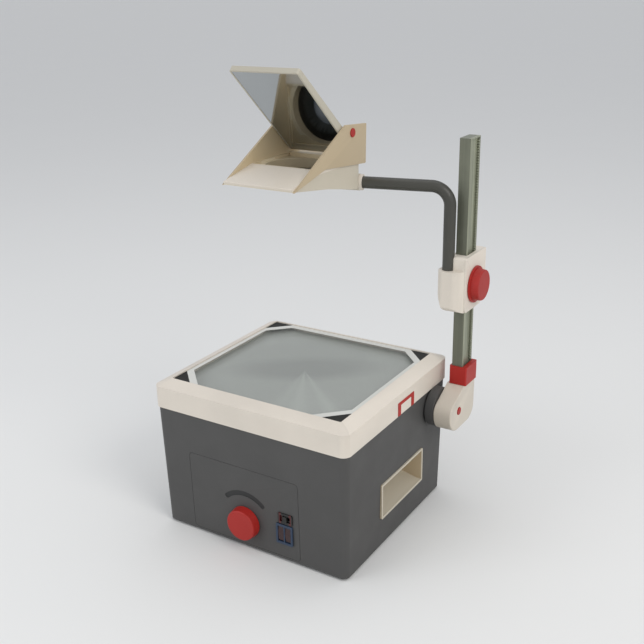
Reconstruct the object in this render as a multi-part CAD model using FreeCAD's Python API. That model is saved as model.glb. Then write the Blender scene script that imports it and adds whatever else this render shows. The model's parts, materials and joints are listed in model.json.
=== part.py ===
import FreeCAD, Part

import math
import os

from FreeCAD import Vector

# Overhead projector. Millimetres. +X is the mast side, -Y the control side, +Z up.
# The origin is on the table, under the middle of the lamp house.

# ---- driving dimensions -------------------------------------------------------------
FOOT_HEIGHT = 4.0
FOOT_X = 140.0
FOOT_Y = 130.0
STAGE_WIDTH = 340.0
STAGE_DEPTH = 322.0
STAGE_CORNER = 13.0
SHELL_TOP = 203.0
SHELL_INSET = 2.0
SHELL_TAPER = 4.0
WALL = 3.0
RUN_GAP = 0.4
FIT_GAP = 0.05

LID_BOTTOM = SHELL_TOP + RUN_GAP
LID_CREASE = 237.5
LID_TOP = 246.0
OPENING_WIDTH = 297.4
OPENING_DEPTH = 280.0
LEDGE = 6.0
LEDGE_BASE = 229.5
GLASS_TOP = 243.9
GLASS_THICK = 4.0
FRESNEL_THICK = 3.0
APERTURE_CHAMFER = 34.0
STRIP_SIDE = 7.0
STRIP_REAR = 10.0
STRIP_CORNER = 11.0
STRIP_THICK = 0.6
MASK_THICK = 0.4
HINGE_Y = STAGE_DEPTH / 2 + 5.0
HINGE_X = 100.0
HINGE_R = 5.0
HINGE_PIN_R = 2.5
HINGE_HALF = 8.0
HINGE_REACH = 22.0
LATCH_Y = (-12.0, 39.0)
LATCH_Z = (LID_BOTTOM + 0.6, 225.0)
LATCH_BAND = 5.0
LATCH_SIDE = 8.5
LATCH_PROUD = 0.8

PANEL_X = (-110.0, 86.0)
PANEL_Z = (8.0, 138.0)
KNOB_X = -10.0
KNOB_Z = 47.0
KNOB_FRONT = -171.0
KNOB_BACK = -157.0
DIAL_R = 48.0
DIAL_WIDTH = 8.0
DIAL_HALF_ANGLE = 42.0
ROCKER_X = (48.0, 74.0)
ROCKER_Z = (33.0, 63.0)
SELECTOR_X = (52.0, 74.0)
SELECTOR_Z = (68.0, 82.0)
SWITCH_FRONT = -158.5
SWITCH_BACK = -144.0
GRILLE_X = (-132.0, -48.0)
GRILLE_Z = (13.0, 97.0)
GRILLE_SLOTS = 9
INLET_X = (86.0, 118.0)
INLET_Z = (28.0, 54.0)

HANDLE_Y = (-53.0, 76.0)
HANDLE_Z = (55.0, 106.0)
HANDLE_FLOOR_X = 108.0
HANDLE_LIP_X = 168.0
HANDLE_RISE = 12.0
HANDLE_WALL = 2.5
HANDLE_RIM = 3.6

PIVOT_Y = 108.5
PIVOT_Z = 173.0
PIVOT_R = 8.0
BUTTON_R = 6.2
KNUCKLE_R = 31.5
KNUCKLE_X = (185.0, 214.5)
KNUCKLE_TOP = 208.0
COLLAR_Z = (KNUCKLE_TOP + RUN_GAP, 238.5)
BRACKET_SCREW_ANGLES = (90.0, 210.0, 330.0)
BRACKET_SCREW_RING = 17.0

POST_X = 200.0
POST_Y = 147.0
POST_WIDTH = 18.0
POST_DEPTH = 36.0
POST_WALL = 2.0
POST_FOOT = 166.0
POST_TOP = 592.0
CHANNEL_FLOOR_X = 205.4
CHANNEL_Y = (132.6, 163.4)

CARRIAGE_Z = (332.0, 419.0)
CUP_TOP = 398.0
CARRIAGE_FACE_X = 213.0
COVER_THICK = 3.0
FOCUS_Z = 371.0
SPINDLE_R = 5.0

MODULE = 1.25
FOCUS_TEETH = 20
FRINGE_TEETH = 18
PRESSURE_ANGLE = math.radians(20.0)
BACKLASH = 0.25

FAN_X = -90.0
FAN_Z = 55.0
FAN_Y = (126.0, 151.0)
FAN_BLADES = 7
ROD_X = 42.0
ROD_R = 4.0
CONDENSER_Z = 106.0

ARM_X = 186.0
ARM_Y = 115.0
ARM_R = 9.0
ARM_BORE_R = 7.4
ARM_FOOT_Z = 358.0
ARM_AXIS_Z = 523.0
ARM_BEND_R = 28.0
SOCKET_X = 52.0
SOCKET_Y = 85.0

HEAD_HALF = 57.0
CHEEK_THICK = 3.0
DECK_Z = (557.0, 559.5)
STEP_TOP = 565.0
WELL_R = 50.0
WELL_FLOOR = 545.0
LENS_R = 29.0
LENS_CLEAR_R = 26.0

FLAP_FOOT = (60.0, 568.0)
FLAP_TIP = (-82.0, 696.0)
FLAP_HALF = 55.5
FLAP_DEPTH = 14.0
FLAP_TIP_DEPTH = 8.0
FLAP_RIM = 2.5
MIRROR_THICK = 3.0
MIRROR_SEAT = 3.3
FLAP_PIVOT = (49.0, 602.0)
FLAP_PIN_R = 3.0


# ---- geometry helpers ---------------------------------------------------------------
def block(x, y, z):
    """Box from three (low, high) pairs."""
    return Part.makeBox(x[1] - x[0], y[1] - y[0], z[1] - z[0], Vector(x[0], y[0], z[0]))


def rod(radius, start, end):
    """Cylinder between two points."""
    low = Vector(*start)
    run = Vector(*end) - low
    return Part.makeCylinder(radius, run.Length, low, run)


def cone(radius_1, radius_2, start, end):
    """Cone frustum between two points."""
    low = Vector(*start)
    run = Vector(*end) - low
    return Part.makeCone(radius_1, radius_2, run.Length, low, run)


def outline(corners, place):
    """Closed wire through (u, v, radius) corners, set in space by place(u, v)."""
    edges = []
    bends = []
    count = len(corners)
    for i in range(count):
        u, v, radius = corners[i]
        here = Vector(u, v, 0)
        before = Vector(corners[i - 1][0], corners[i - 1][1], 0) - here
        after = Vector(corners[(i + 1) % count][0], corners[(i + 1) % count][1], 0) - here
        before.normalize()
        after.normalize()
        half = before.getAngle(after) / 2
        reach = radius / math.tan(half)
        middle = before + after
        if radius > 0:
            middle.normalize()
        crown = here + middle * (radius / math.sin(half) - radius)
        bends.append((here + before * reach, crown, here + after * reach, radius))
    for i in range(count):
        start, crown, end, radius = bends[i]
        if radius > 0:
            arc = [place(p.x, p.y) for p in (start, crown, end)]
            edges.append(Part.Arc(*arc).toShape())
        following = bends[(i + 1) % count][0]
        if (following - end).Length > 1e-6:
            edges.append(Part.makeLine(place(end.x, end.y), place(following.x, following.y)))
    return Part.Wire(edges)


def plate_x(corners, x):
    """Outline in (y, z), extruded between two x values."""
    wire = outline(corners, lambda u, v: Vector(x[0], u, v))
    return Part.Face(wire).extrude(Vector(x[1] - x[0], 0, 0))


def plate_y(corners, y):
    """Outline in (x, z), extruded between two y values."""
    wire = outline(corners, lambda u, v: Vector(u, y[0], v))
    return Part.Face(wire).extrude(Vector(0, y[1] - y[0], 0))


def plate_z(corners, z):
    """Outline in (x, y), extruded between two z values."""
    wire = outline(corners, lambda u, v: Vector(u, v, z[0]))
    return Part.Face(wire).extrude(Vector(0, 0, z[1] - z[0]))


def rectangle(u, v, radius):
    """Corners of a rounded rectangle from two (low, high) pairs."""
    return [(u[0], v[0], radius), (u[1], v[0], radius), (u[1], v[1], radius), (u[0], v[1], radius)]


def centred(width, depth, radius):
    """Corners of a rounded rectangle about the origin."""
    return rectangle((-width / 2, width / 2), (-depth / 2, depth / 2), radius)


def taper(low, low_z, high, high_z):
    """Solid lofted from one level outline to another."""
    wires = [
        outline(low, lambda u, v: Vector(u, v, low_z)),
        outline(high, lambda u, v: Vector(u, v, high_z)),
    ]
    return Part.makeLoft(wires, True, True)


def mirrored(shape):
    """The shape mirrored to the other side of the x = 0 plane."""
    return shape.mirror(Vector(0, 0, 0), Vector(1, 0, 0))


def revolve(points, axis_point, axis):
    """Closed polygon of space points turned right round an axis."""
    wire = Part.makePolygon([Vector(*p) for p in points + points[:1]])
    return Part.Face(wire).revolve(Vector(*axis_point), Vector(*axis), 360)


def group(shapes):
    """Separate solids kept in one node."""
    return Part.makeCompound(shapes)


# ---- gears --------------------------------------------------------------------------
def gear_outline(teeth, place):
    """Involute gear outline with a little backlash, as a wire."""
    pitch_r = MODULE * teeth / 2
    base_r = pitch_r * math.cos(PRESSURE_ANGLE)
    tip_r = pitch_r + MODULE
    root_r = pitch_r - 1.25 * MODULE
    flank_start = max(base_r, root_r)
    half_at_pitch = math.pi / (2 * teeth) - BACKLASH / (2 * pitch_r)
    lead = half_at_pitch + math.tan(PRESSURE_ANGLE) - PRESSURE_ANGLE
    steps = 4

    def flank_point(radius, side, centre):
        roll = math.sqrt(max((radius / base_r) ** 2 - 1, 0))
        angle = centre + side * (lead - (roll - math.atan(roll)))
        return place(radius * math.cos(angle), radius * math.sin(angle))

    points = []
    for tooth in range(teeth):
        centre = 2 * math.pi * tooth / teeth
        radii = [flank_start + (tip_r - flank_start) * i / steps for i in range(steps + 1)]
        foot = centre - lead
        points.append(place(root_r * math.cos(foot), root_r * math.sin(foot)))
        for radius in radii:
            points.append(flank_point(radius, -1, centre))
        for radius in reversed(radii):
            points.append(flank_point(radius, 1, centre))
        foot = centre + lead
        points.append(place(root_r * math.cos(foot), root_r * math.sin(foot)))
    return Part.makePolygon(points + points[:1])


def rack_corners(length_low, length_high, pitch_line, back, direction, phase):
    """Straight rack outline as (across, along) corners; teeth point along -direction."""
    pitch = math.pi * MODULE
    slope = math.tan(PRESSURE_ANGLE)
    tip = pitch_line - direction * MODULE
    root = pitch_line + direction * 1.25 * MODULE
    half_tip = pitch / 4 - BACKLASH / 2 - slope * MODULE
    half_root = pitch / 4 - BACKLASH / 2 + slope * 1.25 * MODULE
    corners = [(back, length_low, 0), (root, length_low, 0)]
    first = math.ceil((length_low + half_root - phase) / pitch)
    last = math.floor((length_high - half_root - phase) / pitch)
    for tooth in range(first, last + 1):
        centre = phase + tooth * pitch
        corners.append((root, centre - half_root, 0))
        corners.append((tip, centre - half_tip, 0))
        corners.append((tip, centre + half_tip, 0))
        corners.append((root, centre + half_root, 0))
    corners.append((root, length_high, 0))
    corners.append((back, length_high, 0))
    return corners


# ---- lamp house ---------------------------------------------------------------------
def shell_outline(level, inset):
    """Outline of the tapering shell at a level, moved in by an inset."""
    rise = (level - FOOT_HEIGHT) / (SHELL_TOP - FOOT_HEIGHT)
    shrink = 2 * (SHELL_INSET + SHELL_TAPER * (1 - rise) + inset)
    return centred(STAGE_WIDTH - shrink, STAGE_DEPTH - shrink, STAGE_CORNER - shrink / 4)


def shell_solid(inset, low=FOOT_HEIGHT, high=SHELL_TOP):
    return taper(shell_outline(low, inset), low, shell_outline(high, inset), high)


def panel_window(margin):
    """Space of the control panel through the front wall, grown by a margin."""
    x = (PANEL_X[0] - margin, PANEL_X[1] + margin)
    z = (PANEL_Z[0] - margin, PANEL_Z[1] + margin)
    return plate_y(rectangle(x, z, 6.0 + margin), (-STAGE_DEPTH / 2 - 5, -STAGE_DEPTH / 2 + 20))


def build_shell():
    shell = shell_solid(0).cut(shell_solid(WALL, FOOT_HEIGHT, SHELL_TOP))
    flange = shell_solid(WALL, SHELL_TOP - 4, SHELL_TOP)
    flange = flange.cut(plate_z(centred(296, 278, 6), (SHELL_TOP - 10, SHELL_TOP + 1)))
    shell = shell.fuse(flange)
    shell = shell.cut(panel_window(0.5))
    lip = HANDLE_RIM + 0.3
    handle_y = (HANDLE_Y[0] - lip, HANDLE_Y[1] + lip)
    handle_z = (HANDLE_Z[0] - lip, HANDLE_Z[1] + lip)
    handle_hole = plate_x(rectangle(handle_y, handle_z, 3), (150, 175))
    shell = shell.cut(handle_hole).cut(mirrored(handle_hole))
    rear = (STAGE_DEPTH / 2 - 20, STAGE_DEPTH / 2 + 5)
    shell = shell.cut(plate_y(rectangle(GRILLE_X, GRILLE_Z, 5), rear))
    shell = shell.cut(plate_y(rectangle(INLET_X, INLET_Z, 2), rear))
    shell = shell.cut(rod(24.2, (150, PIVOT_Y, PIVOT_Z), (180, PIVOT_Y, PIVOT_Z)))
    for side in (-1, 1):
        middle = side * HINGE_X
        low, high = middle - HINGE_HALF, middle + HINGE_HALF
        barrel = rod(HINGE_R, (low, HINGE_Y, SHELL_TOP), (high, HINGE_Y, SHELL_TOP))
        arm = plate_x(
            [(STAGE_DEPTH / 2 - 4, SHELL_TOP - 14, 0), (HINGE_Y, SHELL_TOP - HINGE_R, 0),
             (HINGE_Y, SHELL_TOP, 0), (STAGE_DEPTH / 2 - 4, SHELL_TOP, 0)],
            (low, high))
        shell = shell.fuse(arm).fuse(barrel)
        shell = shell.cut(
            rod(HINGE_PIN_R, (middle - 9, HINGE_Y, SHELL_TOP), (middle + 9, HINGE_Y, SHELL_TOP)))
    return shell.removeSplitter()


def build_base_pan():
    pan = plate_z(centred(321, 303, 14), (FOOT_HEIGHT, FOOT_HEIGHT + WALL))
    for column in range(9):
        x = -60 + 15 * column
        pan = pan.cut(plate_z(rectangle((x - 3, x + 3), (-30, 30), 2.9), (0, 12)))
    for x in (-FOOT_X, FOOT_X):
        for y in (-FOOT_Y, FOOT_Y):
            pan = pan.cut(rod(2.5, (x, y, 0), (x, y, 12)))
    return pan


def build_feet():
    feet = []
    for x in (-FOOT_X, FOOT_X):
        for y in (-FOOT_Y, FOOT_Y):
            foot = cone(13, 11.5, (x, y, 0), (x, y, FOOT_HEIGHT))
            foot = foot.cut(rod(5.5, (x, y, -1), (x, y, 3.0)))
            foot = foot.cut(rod(2.5, (x, y, -1), (x, y, FOOT_HEIGHT + 1)))
            feet.append(foot)
    return group(feet)


def bracket_screw_centres():
    centres = []
    for angle in BRACKET_SCREW_ANGLES:
        turn = math.radians(angle)
        y = PIVOT_Y + BRACKET_SCREW_RING * math.cos(turn)
        z = PIVOT_Z + BRACKET_SCREW_RING * math.sin(turn)
        centres.append((y, z))
    return centres


def build_screws():
    """Foot screws and mast bracket screws: the same M5 pan-head screw."""
    screws = []
    for x in (-FOOT_X, FOOT_X):
        for y in (-FOOT_Y, FOOT_Y):
            shank = rod(2.5, (x, y, 3.0), (x, y, 14.0))
            screws.append(shank.fuse(rod(4.8, (x, y, 0.8), (x, y, 3.0))))
    for y, z in bracket_screw_centres():
        shank = rod(2.5, (160.0, y, z), (173.0, y, z))
        screws.append(shank.fuse(rod(4.8, (157.5, y, z), (160.0, y, z))))
    return group(screws)


def build_control_panel():
    wall = shell_solid(0).cut(shell_solid(WALL, FOOT_HEIGHT, SHELL_TOP))
    panel = wall.common(panel_window(0))
    front = (-STAGE_DEPTH / 2 - 5, -STAGE_DEPTH / 2 + 20)
    panel = panel.cut(rod(9.0, (KNOB_X, front[0], KNOB_Z), (KNOB_X, front[1], KNOB_Z)))
    panel = panel.cut(dial_sector(DIAL_R, DIAL_WIDTH, DIAL_HALF_ANGLE, front))
    panel = panel.cut(plate_y(rectangle(ROCKER_X, ROCKER_Z, 1.5), front))
    panel = panel.cut(plate_y(rectangle(SELECTOR_X, SELECTOR_Z, 1.0), front))
    return panel


def dial_sector(radius, width, half_angle, y):
    """Curved slot above the knob, round at both ends."""
    inner = radius - width / 2
    outer = radius + width / 2
    turn = math.radians(half_angle)

    def at(r, angle):
        return Vector(KNOB_X + r * math.sin(angle), y[0], KNOB_Z + r * math.cos(angle))

    cap = math.radians(half_angle) + width / 2 / radius
    edges = [
        Part.Arc(at(outer, -turn), at(outer, 0), at(outer, turn)).toShape(),
        Part.Arc(at(outer, turn), at(radius, cap), at(inner, turn)).toShape(),
        Part.Arc(at(inner, turn), at(inner, 0), at(inner, -turn)).toShape(),
        Part.Arc(at(inner, -turn), at(radius, -cap), at(outer, -turn)).toShape(),
    ]
    return Part.Face(Part.Wire(edges)).extrude(Vector(0, y[1] - y[0], 0))


def build_arc_scale():
    """Smoked window that fills the curved slot, with a flange behind the panel."""
    window = dial_sector(DIAL_R, DIAL_WIDTH - 0.2, DIAL_HALF_ANGLE, (-156.0, -152.6))
    flange = dial_sector(DIAL_R, DIAL_WIDTH + 8, DIAL_HALF_ANGLE + 6, (-153.0, -151.6))
    return window.fuse(flange)


def build_handle_cups():
    """Deep cups for the lifting hands; each floor rises inwards to meet the fingers."""
    rim_y = (HANDLE_Y[0] - HANDLE_RIM, HANDLE_Y[1] + HANDLE_RIM)
    rim_z = (HANDLE_Z[0] - HANDLE_RIM, HANDLE_Z[1] + HANDLE_RIM)
    rim = plate_x(rectangle(rim_y, rim_z, 3), (158.0, HANDLE_LIP_X))
    cup_y = (HANDLE_Y[0] - HANDLE_WALL, HANDLE_Y[1] + HANDLE_WALL)
    low, high = HANDLE_Z
    mouth = HANDLE_LIP_X - 8
    end = HANDLE_FLOOR_X - HANDLE_WALL
    outside = [
        (end, low + HANDLE_RISE - HANDLE_WALL, 6), (mouth, low - HANDLE_WALL, 0),
        (mouth, high + HANDLE_WALL, 0), (end, high + HANDLE_WALL, 6)]
    inside = [
        (HANDLE_FLOOR_X, low + HANDLE_RISE, 4), (mouth, low, 0), (HANDLE_LIP_X + 1, low, 0),
        (HANDLE_LIP_X + 1, high, 0), (HANDLE_FLOOR_X, high, 4)]
    right = rim.fuse(plate_y(outside, cup_y)).cut(plate_y(inside, HANDLE_Y)).removeSplitter()
    return group([right, mirrored(right)])


def build_vent_grille():
    y = (STAGE_DEPTH / 2 - 7.5, STAGE_DEPTH / 2 - 4.0)
    x = (GRILLE_X[0] + 0.3, GRILLE_X[1] - 0.3)
    z = (GRILLE_Z[0] + 0.3, GRILLE_Z[1] - 0.3)
    grille = plate_y(rectangle(x, z, 4.7), y)
    middle = (GRILLE_Z[0] + GRILLE_Z[1]) / 2
    through = (y[0] - 1, y[1] + 1)
    for slot in range(GRILLE_SLOTS):
        left = GRILLE_X[0] + 8 + slot * 8
        for low, high in ((z[0] + 5, middle - 2), (middle + 2, z[1] - 5)):
            grille = grille.cut(plate_y(rectangle((left, left + 4), (low, high), 1.9), through))
    return grille


def build_power_inlet():
    """Appliance inlet: rimmed shell with three flat pins."""
    face = STAGE_DEPTH / 2 - 3.0
    x = (INLET_X[0] + 0.2, INLET_X[1] - 0.2)
    z = (INLET_Z[0] + 0.2, INLET_Z[1] - 0.2)
    body = plate_y(rectangle(x, z, 2), (face - 22, face))
    middle_x = (x[0] + x[1]) / 2
    middle_z = (z[0] + z[1]) / 2
    socket = [
        (middle_x - 12, middle_z - 8, 1.5), (middle_x + 12, middle_z - 8, 1.5),
        (middle_x + 12, middle_z + 3, 1.5), (middle_x + 7, middle_z + 8, 1.5),
        (middle_x - 7, middle_z + 8, 1.5), (middle_x - 12, middle_z + 3, 1.5)]
    body = body.cut(plate_y(socket, (face - 17, face + 1)))
    for dx, dz in ((-7, -2), (0, 2), (7, -2)):
        pin_x = (middle_x + dx - 1, middle_x + dx + 1)
        pin_z = (middle_z + dz - 2.5, middle_z + dz + 2.5)
        body = body.fuse(block(pin_x, (face - 18, face - 5.5), pin_z))
    return body


def build_transformer():
    """Laminated core and the coil on its middle limb."""
    core = block((-124, -52), (-140, -64), (7, 67))
    for low, high in ((-105, -93), (-83, -71)):
        core = core.cut(block((low, high), (-145, -60), (22, 52)))
    coil = plate_z(rectangle((-104.5, -71.5), (-143.5, -56), 4), (22.5, 51.5))
    coil = coil.cut(block((-93, -83), (-140, -64), (20, 55)))
    return core, coil


def build_fan():
    housing = plate_y(
        rectangle((FAN_X - 40, FAN_X + 40), (FAN_Z - 40, FAN_Z + 40), 5), FAN_Y)
    housing = housing.cut(rod(37.5, (FAN_X, FAN_Y[0] - 1, FAN_Z), (FAN_X, FAN_Y[1] + 1, FAN_Z)))
    for turn in (0, 120, 240):
        strut = block((FAN_X, FAN_X + 38.5), (FAN_Y[0], FAN_Y[0] + 3), (FAN_Z - 2, FAN_Z + 2))
        strut.rotate(Vector(FAN_X, 0, FAN_Z), Vector(0, 1, 0), turn)
        housing = housing.fuse(strut)
    motor = rod(16, (FAN_X, FAN_Y[0], FAN_Z), (FAN_X, FAN_Y[0] + 4, FAN_Z))
    spindle = rod(2.0, (FAN_X, FAN_Y[0] + 4, FAN_Z), (FAN_X, FAN_Y[0] + 16, FAN_Z))
    housing = housing.fuse(motor).fuse(spindle).removeSplitter()

    hub_low = FAN_Y[0] + 4.5
    rotor = rod(15, (FAN_X, hub_low, FAN_Z), (FAN_X, FAN_Y[1] - 3, FAN_Z))
    for blade in range(FAN_BLADES):
        fin = block((13, 35.5), (-9, 9), (-1, 1))
        fin.rotate(Vector(0, 0, 0), Vector(1, 0, 0), 40)
        fin.rotate(Vector(0, 0, 0), Vector(0, 1, 0), 360.0 / FAN_BLADES * blade)
        fin.translate(Vector(FAN_X, hub_low + 9.0, FAN_Z))
        rotor = rotor.fuse(fin)
    bore = rod(2.0 + FIT_GAP, (FAN_X, hub_low - 1, FAN_Z), (FAN_X, FAN_Y[0] + 17, FAN_Z))
    return housing, rotor.cut(bore)


def build_lamp_frame():
    """Condenser plate on four legs, with the upright that carries the knob shaft."""
    plate = plate_z(centred(140, 120, 6), (CONDENSER_Z, CONDENSER_Z + 3))
    plate = plate.cut(rod(42, (0, 0, CONDENSER_Z - 1), (0, 0, CONDENSER_Z + 4)))
    for x in (-62, 62):
        for y in (-52, 52):
            plate = plate.fuse(rod(4, (x, y, FOOT_HEIGHT + WALL), (x, y, CONDENSER_Z + 1)))
    upright = plate_y(rectangle((KNOB_X - 14, KNOB_X + 14), (7, 62), 4), (-92, -89))
    upright = upright.cut(rod(4 + FIT_GAP, (KNOB_X, -95, KNOB_Z), (KNOB_X, -85, KNOB_Z)))
    foot = block((KNOB_X - 14, KNOB_X + 14), (-89, -78), (7, 10))
    return group([plate, upright.fuse(foot)])


def build_condenser_lens():
    """Flat underneath, domed on top."""
    sphere = Part.makeSphere(70, Vector(0, 0, CONDENSER_Z + 3 + 22 - 70))
    slab = rod(44.5, (0, 0, CONDENSER_Z + 3), (0, 0, CONDENSER_Z + 30))
    return slab.common(sphere)


def build_guide_rods():
    return group([
        rod(ROD_R, (x, 0, FOOT_HEIGHT + WALL), (x, 0, CONDENSER_Z)) for x in (-ROD_X, ROD_X)])


def fringe_place(y):
    return lambda u, v: Vector(KNOB_X + u, y, KNOB_Z + v)


def build_fringe_parts():
    """Red knob, its shaft with the pinion, and the pointer of the dial."""
    knob = cone(26, 24.5, (KNOB_X, KNOB_BACK, KNOB_Z), (KNOB_X, KNOB_FRONT, KNOB_Z))
    front_edges = [e for e in knob.Edges if abs(e.BoundBox.YMin - KNOB_FRONT) < 0.01 and e.Closed]
    knob = knob.makeFillet(2.0, front_edges)
    hub = rod(8.5, (KNOB_X, KNOB_BACK, KNOB_Z), (KNOB_X, KNOB_BACK + 6, KNOB_Z))
    bore = rod(4.0, (KNOB_X, KNOB_FRONT + 4, KNOB_Z), (KNOB_X, KNOB_BACK + 7, KNOB_Z))
    knob = knob.fuse(hub).cut(bore)

    shaft = rod(4.0, (KNOB_X, KNOB_FRONT + 4, KNOB_Z), (KNOB_X, -62, KNOB_Z))
    pinion = Part.Face(gear_outline(FRINGE_TEETH, fringe_place(-76))).extrude(Vector(0, 12, 0))
    shaft = shaft.fuse(pinion)

    pointer = plate_y(
        [(KNOB_X - 6, KNOB_Z - 8, 3), (KNOB_X + 6, KNOB_Z - 8, 3), (KNOB_X + 6, KNOB_Z + 10, 3),
         (KNOB_X + 1.5, KNOB_Z + DIAL_R + 5, 1), (KNOB_X - 1.5, KNOB_Z + DIAL_R + 5, 1),
         (KNOB_X - 6, KNOB_Z + 10, 3)], (-150.5, -149.0))
    pointer = pointer.cut(rod(4.0, (KNOB_X, -155, KNOB_Z), (KNOB_X, -145, KNOB_Z)))
    return knob, shaft, pointer


def build_lamp_parts():
    """Carrier with its rack, ceramic socket, capsule bulb and spherical reflector."""
    carrier = plate_z(centred(104, 40, 6), (30, 34))
    for x in (-ROD_X, ROD_X):
        carrier = carrier.fuse(rod(8, (x, 0, 22), (x, 0, 46)))
    tongue = block((4.0, 14.0), (-76, -19), (30, 34))
    carrier = carrier.fuse(tongue)
    pitch_line = KNOB_X + MODULE * FRINGE_TEETH / 2
    pitch = math.pi * MODULE
    corners = rack_corners(23, 71, pitch_line, pitch_line + 6.5, 1, KNOB_Z + pitch / 2)
    carrier = carrier.fuse(plate_y(corners, (-75, -65)))
    for x in (-ROD_X, ROD_X):
        carrier = carrier.cut(rod(ROD_R + FIT_GAP, (x, 0, 15), (x, 0, 50)))
    for x in (-18, 18):
        carrier = carrier.fuse(rod(2.5, (x, 0, 33), (x, 0, 51.4)))

    socket = plate_z(centred(22, 15, 2), (34, 50))
    bulb = rod(7, (0, 0, 54), (0, 0, 76)).fuse(Part.makeSphere(7, Vector(0, 0, 76)))
    bulb = bulb.fuse(block((-6, 6), (-3, 3), (50, 55)))

    centre_z = 84.0
    outer = Part.makeSphere(36, Vector(0, 0, centre_z))
    inner = Part.makeSphere(35, Vector(0, 0, centre_z))
    bowl = outer.cut(inner).common(rod(40, (0, 0, 48), (0, 0, 74)))
    bowl = bowl.cut(rod(13, (0, 0, 40), (0, 0, 80)))
    return carrier, socket, bulb, bowl


# ---- switches -----------------------------------------------------------------------
def build_rockers():
    """Blue twin bezel and its two rockers, which turn about pins along X."""
    rim = plate_y(rectangle((46.5, 75.5), (31.5, 64.5), 2), (SWITCH_FRONT, -156.6))
    body = plate_y(rectangle((48.2, 73.8), (33.2, 62.8), 1), (-156.6, SWITCH_BACK))
    bezel = rim.fuse(body)
    rockers = []
    middle_z = sum(ROCKER_Z) / 2
    for left in (49.8, 62.0):
        bezel = bezel.cut(block((left, left + 10.2), (-160, -147), (35.2, 60.8)))
        rocker = plate_x(
            [(-149, middle_z - 10.5, 1), (-157.2, middle_z - 11.8, 0.8), (-158.2, middle_z, 0),
             (-157.2, middle_z + 11.8, 0.8), (-149, middle_z + 10.5, 1)],
            (left + 0.5, left + 9.7))
        rockers.append(rocker)
    return bezel.removeSplitter(), rockers


def build_selector():
    """Framed slide switch with a square button."""
    rim = plate_y(rectangle((50.5, 75.5), (66.5, 83.5), 1.5), (-158.4, -157.0))
    body = plate_y(rectangle((52.2, 73.8), (68.2, 81.8), 0.5), (-157.0, -148.0))
    bezel = rim.fuse(body)
    bezel = bezel.cut(block((54.0, 72.0), (-160, -156.0), (70.0, 80.0)))
    bezel = bezel.cut(block((56.0, 70.0), (-160, -150.0), (73.0, 77.0)))
    button = block((59.5, 66.5), (-159.8, -156.4), (70.5, 79.5))
    button = button.fuse(block((61.0, 65.0), (-157.0, -150.5), (73.4, 76.6)))
    return bezel.removeSplitter(), button.removeSplitter()


# ---- stage lid ----------------------------------------------------------------------
def build_lid():
    outer = plate_z(centred(STAGE_WIDTH, STAGE_DEPTH, STAGE_CORNER), (LID_BOTTOM, LID_CREASE))
    slope = taper(
        centred(STAGE_WIDTH, STAGE_DEPTH, STAGE_CORNER), LID_CREASE,
        centred(OPENING_WIDTH + 1, OPENING_DEPTH + 1, 3), LID_TOP)
    hollow = plate_z(
        centred(STAGE_WIDTH - 2 * WALL, STAGE_DEPTH - 2 * WALL, STAGE_CORNER - WALL),
        (LID_BOTTOM - 1, LEDGE_BASE))
    lid = outer.fuse(slope).cut(hollow)
    shelf = LEDGE_BASE + 4.0
    lid = lid.cut(plate_z(centred(OPENING_WIDTH, OPENING_DEPTH, 2), (shelf, LID_TOP + 1)))
    inner_width = OPENING_WIDTH - 2 * LEDGE
    inner_depth = OPENING_DEPTH - 2 * LEDGE
    lid = lid.cut(plate_z(centred(inner_width, inner_depth, 2), (LEDGE_BASE - 1, shelf + 1)))
    window = plate_x(rectangle(LATCH_Y, (LATCH_Z[0] - 2, LATCH_Z[1]), 1), (160, 175))
    lid = lid.cut(window).cut(mirrored(window))
    for side in (-1, 1):
        middle = side * HINGE_X
        inner = HINGE_HALF + RUN_GAP
        for low, high in (
                (middle - HINGE_REACH, middle - inner), (middle + inner, middle + HINGE_REACH)):
            barrel = rod(HINGE_R, (low, HINGE_Y, SHELL_TOP), (high, HINGE_Y, SHELL_TOP))
            arm = plate_x(
                [(STAGE_DEPTH / 2 - 2, LID_BOTTOM, 0), (HINGE_Y, LID_BOTTOM, 0),
                 (HINGE_Y + HINGE_R, LID_BOTTOM, 0), (HINGE_Y + HINGE_R, SHELL_TOP + 1.5, 0),
                 (STAGE_DEPTH / 2 - 2, SHELL_TOP + 14, 0)],
                (low, high))
            lid = lid.fuse(arm).fuse(barrel)
        lid = lid.cut(rod(
            HINGE_PIN_R + FIT_GAP,
            (middle - 25, HINGE_Y, SHELL_TOP), (middle + 25, HINGE_Y, SHELL_TOP)))
    return lid.removeSplitter()


def build_hinge_pins():
    return group([
        rod(HINGE_PIN_R, (middle - HINGE_REACH, HINGE_Y, SHELL_TOP),
            (middle + HINGE_REACH, HINGE_Y, SHELL_TOP)) for middle in (-HINGE_X, HINGE_X)])


def chamfered(width, depth, chamfer):
    """Rectangle with its corners cut off, as outline corners."""
    half_w = width / 2
    half_d = depth / 2
    return [
        (-half_w + chamfer, -half_d, 0), (half_w - chamfer, -half_d, 0),
        (half_w, -half_d + chamfer, 0), (half_w, half_d - chamfer, 0),
        (half_w - chamfer, half_d, 0), (-half_w + chamfer, half_d, 0),
        (-half_w, half_d - chamfer, 0), (-half_w, -half_d + chamfer, 0)]


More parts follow.
